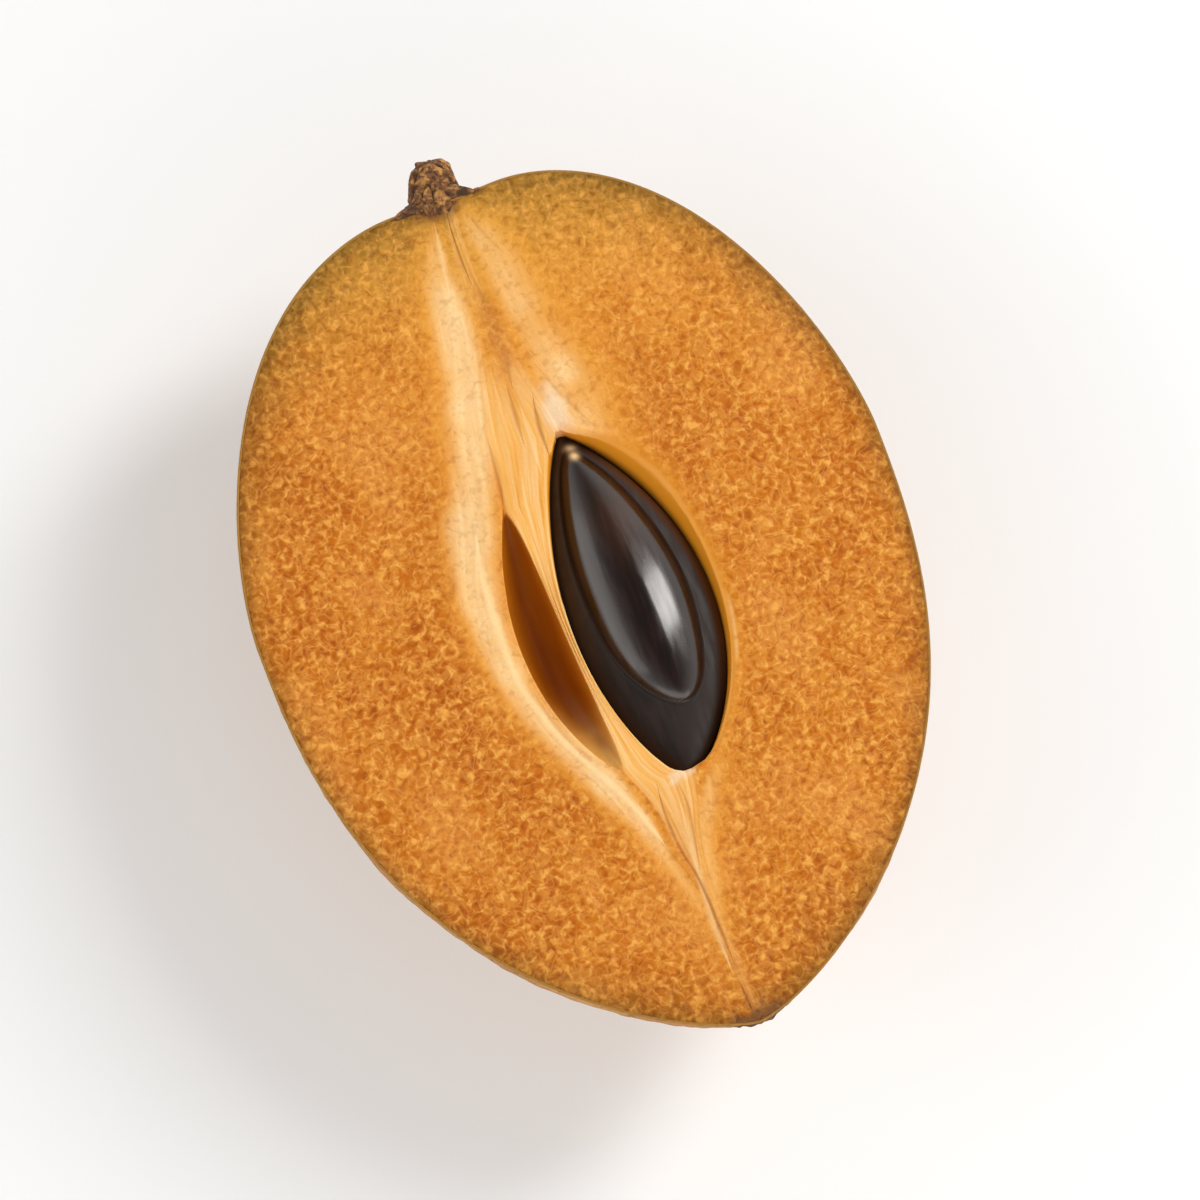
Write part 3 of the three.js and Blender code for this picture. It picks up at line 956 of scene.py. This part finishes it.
def skin_grid(sizes):
    """Rings round the skin: up its inside from the belly, over the cut edge, and down its outside.

    The skin is thin at the cut, its thickness goes as cos(fall)^8, and it is flat where it rests.
    """
    edge = sizes.skin_edge / MM
    turn = np.linspace(0, 2 * np.pi, SKIN_AROUND, endpoint=False)[None, :]
    inner_fall = np.linspace(np.pi / 2, 0, 17)[1:-1, None]
    outer_fall = (np.pi / 2 * np.linspace(0, 1, SKIN_DOWN + 1)[1:-1] ** 1.15)[:, None]
    thickness = SKIN_UNDER_THICKNESS + (edge - SKIN_UNDER_THICKNESS) * np.cos(inner_fall) ** 8
    inside = outward_point(turn, inner_fall, thickness)
    inside[..., 2] = np.maximum(inside[..., 2], SKIN_UNDER_THICKNESS)
    over = np.linspace(0, 1, SKIN_EDGE_RINGS)[:, None]
    rim_in, rim_out = outward_point(turn, 0.0, edge), outward_point(turn, 0.0, 0.0)
    round_over = rim_in + (rim_out - rim_in) * over[..., None]
    crown = 0.06 + 0.05 * fractal(round_over, 3.0, 21, 2)
    round_over[..., 2] += crown * np.sin(np.pi * over) ** 0.7
    grid = np.concatenate([inside, round_over, outward_point(turn, outer_fall, 0.0)])

    outer = np.zeros(grid.shape[:2])
    outer[len(inside) + SKIN_EDGE_RINGS // 2 :] = 1
    cut = np.zeros(grid.shape[:2])
    cut[: len(inside) + SKIN_EDGE_RINGS - 1] = 1
    relief, scar = skin_relief(grid, sizes.scurf / MM)
    away = grid - np.array([0, 0, CUT_Z])
    away /= np.linalg.norm(away, axis=-1, keepdims=True)
    grid = grid + away * (relief * outer)[..., None]
    grid[..., 2] = np.maximum(grid[..., 2], 0)
    poles = [(0, FOOT_Y - BELLY_STATION, SKIN_UNDER_THICKNESS), (0, FOOT_Y - BELLY_STATION, 0)]
    return grid, poles, {"cut": cut, "scar": scar * outer}


def skin_material(colours):
    """Thin ripe sapodilla skin: matt sandy brown scurf, rubbed paler in patches.

    Fine dark flecks and pale worn marks are 0.6 to 0.9 mm across, with a dark pore every 7 mm or so.
    """
    material, add = new_material("scurfy sapodilla skin")
    place = add("TexCoord")
    patches = add("MapRange", add("TexNoise", place, 1 / (9.0 * MM), 3.0), 0.35, 0.68)
    base = add("Mix", patches, colours["skin"], colours["skin_light"])
    shade = add("MapRange", add("TexNoise", place, 1 / (3.5 * MM), 3.0, 0.5), 0.5, 0.8, 0.0, 0.3)
    base = add("Mix", shade, base, colours["skin_dark"])
    curl = add("TexNoise", place, 1 / (0.9 * MM), 2.0, 1.6)
    curl = add("Math ABSOLUTE", add("Math SUBTRACT", curl, 0.5))
    worn = add("MapRange", curl, 0.05, 0.0)
    fleck = add("MapRange", add("TexNoise", place, 1 / (0.6 * MM), 2.5, 0.9), 0.53, 0.7)
    base = add("Mix", add("Math MULTIPLY", worn, 0.45), base, colours["skin_light"])
    base = add("Mix", add("Math MULTIPLY", fleck, 0.6), base, colours["skin_dark"])
    pores = {"Vector": place, "Scale": 1 / (7.0 * MM)}
    pores = add("TexVoronoi", inputs=pores, output="Distance")
    pores = add("Math MULTIPLY_ADD", add("TexNoise", place, 1 / (0.5 * MM)), 0.12, pores)
    pore = add("MapRange", pores, 0.15, 0.1)
    base = add("Mix", add("Math MULTIPLY", pore, 0.75), base, colours["stub_dark"])
    chips = add("MapRange", add("TexNoise", place, 1 / (0.7 * MM), 3.0, 1.2), 0.45, 0.6)
    scab = add("Mix", chips, colours["stub_dark"], colours["stub"])
    base = add("Mix", add("Attribute scar"), base, scab)
    base = add("Mix", add("Attribute cut"), base, colours["skin_cut"])
    height = add("Math SUBTRACT", add("Math MULTIPLY", worn, 0.7), add("Math MULTIPLY", fleck, 0.8))
    height = add("Math ADD", height, add("TexNoise", place, 1 / (0.3 * MM), 3.0, 0.4))
    bump = add("Bump", inputs={"Strength": 0.7, "Distance": 0.1 * MM, "Height": height})
    rough = add("MapRange", fleck, 0.0, 1.0, 0.72, 0.9)
    shader = {"Base Color": base, "Roughness": rough, "IOR": 1.45, "Normal": bump}
    shader = add("BsdfPrincipled", inputs=shader)
    add("OutputMaterial", shader)
    return material


# The seed


SEED_AROUND, SEED_ALONG = 200, 220
SEED_BASE, SEED_SLOPE = 1.0, 0.75  # height and slope of the bevel that the dome stands on
DOME_START, DOME_LENGTH = 22.6, 22.9  # the dome ends well before the seed's lower point
DOME_TAPER = (0.75, 0.55, 0.0)
DOME_HALF_WIDTH = 4.15
DOME_LINE = [(22.6, 1.9), (26, 2.35), (30, 2.7), (35, 3.05), (41, 3.25), (45.5, 3.7)]
DOME_RIDGE = 0.42  # share of the half width over which the dome's ridge is rounded
DOME_FLANK, DOME_EDGE = 0.68, 0.32  # shares of its height that it loses down its flanks and at its edge
GROOVE_DEPTH = 0.08
MARGIN_RISE = 0.5  # how far the margin rises to both of the seed's points


def seed_grid():
    """Rings round the seed from its upper point to its lower end: a lens with a sharp bevelled margin.

    Round each ring, x is the ring's middle plus its half width times the cosine. From the margin
    inwards the top rises as 1 - exp(-distance), and an oval dome stands on it. Its flanks fall
    almost straight from a rounded ridge, as sqrt(across^2 + ridge^2), and then steeply, as across^7.
    A shallow groove runs along the dome's left foot, and the underside is as deep as sine^1.25.
    """
    share = (1 - np.cos(np.pi * np.linspace(0, 1, SEED_ALONG + 1)[1:-1])) / 2
    share = share[:, None]
    station = SEED_START + share * SEED_LENGTH
    wide = girth(share, SEED_TAPER)
    turn = np.linspace(0, 2 * np.pi, SEED_AROUND, endpoint=False)[None, :]
    across, lift = np.cos(turn), np.sin(turn)
    on_top = lift >= 0
    half = wide * (SEED_LEFT + SEED_RIGHT) / 2
    x = SEED_LINE + wide * (SEED_RIGHT - SEED_LEFT) / 2 + half * across
    inward = half * (np.sqrt(1.15) - np.sqrt(across**2 + 0.15))
    base = SEED_BASE * (1 - np.exp(-SEED_SLOPE * inward / SEED_BASE))

    dome_wide = girth((station - DOME_START) / DOME_LENGTH, DOME_TAPER)
    dome_half = np.maximum(DOME_HALF_WIDTH * dome_wide, 0.02)
    from_middle = x - through(station, DOME_LINE)
    from_ridge = np.clip(np.abs(from_middle) / dome_half, 0, 1)
    flank = (np.hypot(from_ridge, DOME_RIDGE) - DOME_RIDGE) / (np.hypot(1, DOME_RIDGE) - DOME_RIDGE)
    dome = (SEED_DOME - SEED_BASE) * dome_wide * (1 - DOME_FLANK * flank - DOME_EDGE * from_ridge**7)
    outside = np.abs(from_middle) - dome_half
    groove = bell(outside, 0.12, 0.16) * on_top * smooth(0.1, 0.4, dome_wide) * (from_middle < 0)
    top = base + dome - GROOVE_DEPTH * groove
    z = np.where(on_top, top, -SEED_KEEL * wide * np.abs(lift) ** 1.25)
    margin = SEED_MARGIN_Z + MARGIN_RISE * (1 - wide) ** 2
    grid = np.stack([x, FOOT_Y - station + 0 * turn, margin + z], -1)

    band = smooth(0.15, 0.4, inward) * smooth(0.0, 0.2, outside) * on_top * (from_middle < 0)
    # The pale hilum near the point, and nearer still to the point a pale spot that is a painted highlight
    tip = bell(np.hypot(x - 2.3, station - 23.45), 0, 0.36)
    tip = tip + 0.6 * bell(np.hypot((x - 2.2) / 1.5, station - 22.65), 0, 0.3)
    # Painted bounce light from the amber wall on the seed's right margin
    beside_wall = (x > SEED_LINE) * smooth(0.04, 0.15, share) * smooth(0.9, 0.65, share)
    values = {
        "band": band * smooth(0.75, 0.4, share),
        "tip": np.clip(tip * on_top, 0, 1),
        "red": bell(station, 29.8, 3.2) * bell(x, 3.7, 1.8) * on_top,
        "bevel": smooth(-0.6, 0.0, outside) * on_top,
        "glow": smooth(0.9, 0.1, inward) * beside_wall,
    }
    ends = FOOT_Y - SEED_START, FOOT_Y - SEED_START - SEED_LENGTH
    poles = [(SEED_LINE, end, SEED_MARGIN_Z + MARGIN_RISE) for end in ends]
    return grid, poles, values


def seed_material(colours):
    """Sapodilla seed coat: hard, polished and black-brown like lacquered wood, duller beside its dome.

    Reddish streaks 0.5 mm wide run along it, with an olive-brown scar and a pale hilum at its point; a
    painted highlight sits beside the hilum, and painted bounce light from the amber wall lies on the margin
    beside it.
    """
    material, add = new_material("polished sapodilla seed coat")
    place = add("TexCoord")
    share = {name: add(f"Attribute {name}") for name in ("band", "tip", "red", "bevel", "glow")}
    streak = add("TexNoise", add("Mapping", place, (1.0, 0.15, 1.0)), 1 / (0.5 * MM))
    reddish = add("MapRange", streak, 0.3, 0.75, 0.0, 0.5)
    base = add("Mix", reddish, colours["seed"], colours["seed_red"])
    base = add("Mix", add("Math MULTIPLY", share["red"], 0.8), base, colours["seed_glow"])
    mottled = add("MapRange", add("TexNoise", place, 1 / (0.9 * MM), 3.0), 0.3, 0.7, 0.6, 1.0)
    base = add("Mix", add("Math MULTIPLY", share["band"], mottled), base, colours["seed_band"])
    # Painted bounce light from the amber wall on the margin beside it
    base = add("Mix", add("Math MULTIPLY", share["glow"], 0.8), base, colours["seed_margin"])
    # The pale hilum and a painted highlight beside it, in the fibres' cream
    base = add("Mix", share["tip"], base, colours["fibre"])
    rough = add("MapRange", streak, 0.3, 0.7, 0.15, 0.28)
    rough = add("Math MULTIPLY_ADD", share["bevel"], 0.34, rough)
    bump = add("Bump", inputs={"Strength": 0.25, "Distance": 0.03 * MM, "Height": streak})
    shader = add(
        "BsdfPrincipled",
        inputs={
            "Base Color": base,
            "Roughness": rough,
            "IOR": 1.46,
            "Specular Tint": (1.0, 0.94, 0.88),
            "Coat Weight": add("Math MULTIPLY_ADD", share["bevel"], -0.5, 0.5),
            "Coat Roughness": 0.15,
            "Normal": bump,
        },
    )
    add("OutputMaterial", shader)
    return material


# The stub


KNOB_AROUND, KNOB_UP = 120, 90
KNOB_PROFILE = [
    (-0.25, 1.8), (-0.1, 2.6), (0.0, 2.7), (0.15, 2.4), (0.35, 2.1), (0.55, 1.95), (0.72, 1.7),
    (0.86, 1.3), (0.95, 0.8), (1.0, 0.25),
]
KNOB_HEIGHT = 4.5
KNOB_SUNK = 1.0  # its foot reaches this far into the shoulder
SEPAL_PLACES = 6  # round a whole calyx, of which the one over the cut face is missing
SEPAL_REACH, SEPAL_WIDTH, SEPAL_THICKNESS = 4.5, 3.6, 2.6
SEPAL_RISE = 1.3  # height of its root above its tip


def to_stem_end(points):
    """From the stub's own frame, with its centre line up +Y, to its place on the fruit."""
    turned = points.copy()
    turned[..., 0] = points[..., 0] * np.cos(STUB_LEAN) + points[..., 1] * np.sin(STUB_LEAN)
    turned[..., 1] = points[..., 1] * np.cos(STUB_LEAN) - points[..., 0] * np.sin(STUB_LEAN)
    return turned + STUB_FOOT


def knob_grid(sizes):
    """The knob: its radius follows a turned profile, less cracks along it where a noise is close to 0."""
    up = np.linspace(-0.25, 1, KNOB_UP)[:, None]
    turn = np.linspace(0, 2 * np.pi, KNOB_AROUND, endpoint=False)[None, :]
    radius = through(up, KNOB_PROFILE) + 0 * turn
    height = KNOB_HEIGHT * up + 0 * turn
    grid = np.stack([radius * np.sin(turn), height, radius * np.cos(turn)], -1)
    cracks = 1 - np.abs(noise(grid, (0.75, 2.2, 0.75), 41)) * 2.2
    rough = fractal(grid, 1.0, 43, 3)
    depth = sizes.fissures / MM * (np.clip(cracks, 0, 1) ** 2 - 0.25) - 0.16 * rough
    grid[..., 0] -= depth * np.sin(turn)
    grid[..., 2] -= depth * np.cos(turn)
    grid[..., 1] += 0.25 * rough * smooth(0.6, 1.0, up)
    crack = np.clip(cracks, 0, 1) ** 2
    poles = [(0, -KNOB_SUNK, 0), (0, KNOB_HEIGHT, 0)]
    return to_stem_end(grid), to_stem_end(np.array(poles, float)), {"crack": crack}


def sepal_grid(angle, seed):
    """One dry sepal: a pointed flap that leaves the knob's side and bends down to the shoulder.

    Its rings are ovals, whose width goes as share^0.3 (1 - share)^0.75 from its root to its tip, and
    whose thickness goes as (1 - share)^0.8.
    """
    share = np.linspace(0.02, 0.995, 30)[:, None]
    turn = np.linspace(0, 2 * np.pi, 28, endpoint=False)[None, :]
    width = 1.6 * share**0.3 * (1 - share) ** 0.75
    side = width * SEPAL_WIDTH / 2 * np.cos(turn)
    out = SEPAL_REACH * share + 0 * turn
    thick = SEPAL_THICKNESS / 2 * (1 - share) ** 0.8 * np.clip(3 * share, 0, 1) * np.sin(turn)
    droop = SEPAL_RISE * (1 - share) - 0.15 - 0.12 * side**2 / (width + 0.1)
    droop = droop + out * np.cos(angle) * np.tan(STUB_LEAN)
    flat = np.stack([out, thick + droop, side], -1)
    flat = flat + 0.14 * fractal(flat, 0.9, seed, 3)[..., None] * np.array([0.5, 1, 0.6])
    spun = flat.copy()
    spun[..., 0] = flat[..., 0] * np.cos(angle) + flat[..., 2] * np.sin(angle)
    spun[..., 2] = flat[..., 2] * np.cos(angle) - flat[..., 0] * np.sin(angle)
    crack = np.clip(0.4 + fractal(flat, 0.6, seed + 5, 2), 0, 1)
    ends = np.stack([spun[0].mean(0), spun[-1].mean(0)])
    return to_stem_end(spun), to_stem_end(ends), {"crack": crack}


def stub_material(colours):
    """Dry stalk and sepals: matt fibrous bark, mid brown with paler worn ridges and dark cracks."""
    material, add = new_material("dry cracked stalk bark")
    place = add("TexCoord")
    worn = add("MapRange", add("TexNoise", place, 1 / (0.8 * MM), 3.0, 0.6), 0.42, 0.68)
    base = add("Mix", worn, colours["stub"], colours["stub_light"])
    pitted = add("MapRange", add("TexNoise", place, 1 / (0.4 * MM), 3.0, 1.0), 0.5, 0.36)
    crack = add("Math MULTIPLY", add("Attribute crack"), 0.8)
    dark = add("Math MAXIMUM", crack, add("Math MULTIPLY", pitted, 0.7))
    base = add("Mix", dark, base, colours["stub_dark"])
    height = add("Math SUBTRACT", add("TexNoise", place, 1 / (0.25 * MM), 4.0, 0.5, 0.65), pitted)
    bump = add("Bump", inputs={"Strength": 0.9, "Distance": 0.15 * MM, "Height": height})
    shader = add("BsdfPrincipled", inputs={"Base Color": base, "Roughness": 0.88, "Normal": bump})
    add("OutputMaterial", shader)
    return material


# Operators


FLOOR_REACH = 1.5  # metres from its middle to its sides


def colours_of(context):
    """Each colour of the scene's settings by its name."""
    group = context.scene.sapodilla_colours
    return {name: tuple(getattr(group, name)) for name in SapodillaColours.__annotations__}


class SAPODILLA_OT_flesh(Operator):
    """Builds the flesh with its pit and its empty seed chamber"""

    bl_idname = "sapodilla.flesh"
    bl_label = "Add Flesh"

    def execute(self, context):
        mesh = loft_mesh("flesh", *flesh_grid(context.scene.sapodilla_sizes))
        add_piece("cut_flesh", mesh, flesh_material(colours_of(context)), "flesh")
        return {"FINISHED"}


class SAPODILLA_OT_skin(Operator):
    """Builds the thin scurfy skin with its cut edge and the scar at the tip"""

    bl_idname = "sapodilla.skin"
    bl_label = "Add Skin"

    def execute(self, context):
        mesh = loft_mesh("skin", *skin_grid(context.scene.sapodilla_sizes))
        add_piece("scurfy_skin", mesh, skin_material(colours_of(context)), "skin")
        return {"FINISHED"}


class SAPODILLA_OT_seed(Operator):
    """Builds the polished seed"""

    bl_idname = "sapodilla.seed"
    bl_label = "Add Seed"

    def execute(self, context):
        mesh = loft_mesh("seed", *seed_grid())
        add_piece("polished_seed", mesh, seed_material(colours_of(context)), "seed")
        return {"FINISHED"}


class SAPODILLA_OT_stub(Operator):
    """Builds the knob of the stalk and the dry sepals round its foot"""

    bl_idname = "sapodilla.stub"
    bl_label = "Add Stub"

    def execute(self, context):
        material = stub_material(colours_of(context))
        knob = loft_mesh("knob", *knob_grid(context.scene.sapodilla_sizes))
        add_piece("stalk_knob", knob, material, "stem_stub")
        for i in range(1, SEPAL_PLACES):
            angle = -np.pi / 2 + i * 2 * np.pi / SEPAL_PLACES
            sepal = loft_mesh(f"sepal_{i}", *sepal_grid(angle, 50 + 7 * i))
            add_piece(f"sepal_{i}", sepal, material, "stem_stub")
        return {"FINISHED"}


class SAPODILLA_OT_stage(Operator):
    """Adds the floor, the lights and the camera"""

    bl_idname = "sapodilla.stage"
    bl_label = "Add Stage"

    def execute(self, context):
        stage = context.scene.sapodilla_stage
        middle = Vector((0, -1.5 * MM, CUT_Z * MM))
        add_floor(colours_of(context)["floor"])
        add_room_light(stage)
        add_light("key softbox", (0.375, 0.075, 0.42), (0.14, 0.28), stage.key_power, middle)
        add_light("fill softbox", (-0.06, -0.5, 0.3), (1.1, 0.24), stage.fill_power, middle)
        add_light("left card", (-0.5, 0.05, 0.33), (0.5, 0.3), stage.card_power, middle)
        add_camera(stage, middle)
        context.scene.view_settings.view_transform = "Standard"
        return {"FINISHED"}


def add_floor(colour):
    """A square of matt studio paper under the half."""
    mesh = bpy.data.meshes.new("floor")
    corners = FLOOR_REACH * np.array([(-1, -1, 0), (1, -1, 0), (1, 1, 0), (-1, 1, 0)])
    mesh.from_pydata(corners, [], [(0, 1, 2, 3)])
    floor = bpy.data.objects.new("floor", mesh)
    bpy.context.scene.collection.objects.link(floor)
    material, add = new_material("matt studio paper")
    add("OutputMaterial", add("BsdfPrincipled", inputs={"Base Color": colour, "Roughness": 0.7}))
    mesh.materials.append(material)


def add_room_light(stage):
    """Light from all round, eased from the horizon's strength to the zenith's."""
    world = bpy.data.worlds.new("room light")
    world.use_nodes = True
    world.node_tree.nodes.clear()
    add = partial(node, world.node_tree)
    up = add("SeparateXYZ", add("TexCoord", output="Generated"), output="Z")
    light = add("MapRange", up, 0.3, 0.95, stage.horizon, stage.zenith)
    add("OutputWorld", add("Background", (1, 1, 1), light))
    bpy.context.scene.world = world


def add_light(name, place, size, power, target):
    """A rectangular softbox at a place, in metres, that faces the target."""
    data = bpy.data.lights.new(name, "AREA")
    data.shape = "RECTANGLE"
    data.size, data.size_y = size
    data.energy = power
    light = bpy.data.objects.new(name, data)
    light.location = place
    light.rotation_euler = (target - light.location).to_track_quat("-Z", "Y").to_euler()
    bpy.context.scene.collection.objects.link(light)


def add_camera(stage, target):
    """The camera on a sphere round the target, level with the horizon."""
    level = np.cos(stage.elevation)
    away = (np.sin(stage.azimuth) * level, -np.cos(stage.azimuth) * level, np.sin(stage.elevation))
    away = Vector(away)
    data = bpy.data.cameras.new("camera")
    data.lens = stage.lens
    data.clip_start = 0.01
    camera = bpy.data.objects.new("camera", data)
    camera.location = target + away * stage.distance
    camera.rotation_euler = (-away).to_track_quat("-Z", "Y").to_euler()
    bpy.context.scene.collection.objects.link(camera)
    bpy.context.scene.camera = camera


class SAPODILLA_PT_panel(Panel):
    """The settings and the steps, in the sidebar"""

    bl_idname = "SAPODILLA_PT_panel"
    bl_label = "Sapodilla Half"
    bl_space_type = "VIEW_3D"
    bl_region_type = "UI"
    bl_category = "Sapodilla"

    def draw(self, context):
        layout = self.layout
        for group in ("sapodilla_sizes", "sapodilla_colours", "sapodilla_stage"):
            box = layout.box()
            settings = getattr(context.scene, group)
            for name in type(settings).__annotations__:
                box.prop(settings, name)
        for operator in OPERATORS:
            layout.operator(operator.bl_idname)


GROUPS = {
    "sapodilla_sizes": SapodillaSizes,
    "sapodilla_colours": SapodillaColours,
    "sapodilla_stage": SapodillaStage,
}
OPERATORS = (
    SAPODILLA_OT_skin,
    SAPODILLA_OT_flesh,
    SAPODILLA_OT_seed,
    SAPODILLA_OT_stub,
    SAPODILLA_OT_stage,
)


def register():
    for name, group in GROUPS.items():
        bpy.utils.register_class(group)
        setattr(bpy.types.Scene, name, PointerProperty(type=group))
    for entry in (*OPERATORS, SAPODILLA_PT_panel):
        bpy.utils.register_class(entry)


def unregister():
    for entry in (SAPODILLA_PT_panel, *reversed(OPERATORS)):
        bpy.utils.unregister_class(entry)
    for name, group in reversed(GROUPS.items()):
        delattr(bpy.types.Scene, name)
        bpy.utils.unregister_class(group)


def main():
    register()
    bpy.ops.sapodilla.skin()
    bpy.ops.sapodilla.flesh()
    bpy.ops.sapodilla.seed()
    bpy.ops.sapodilla.stub()
    bpy.ops.sapodilla.stage()


if __name__ == "__main__":
    main()
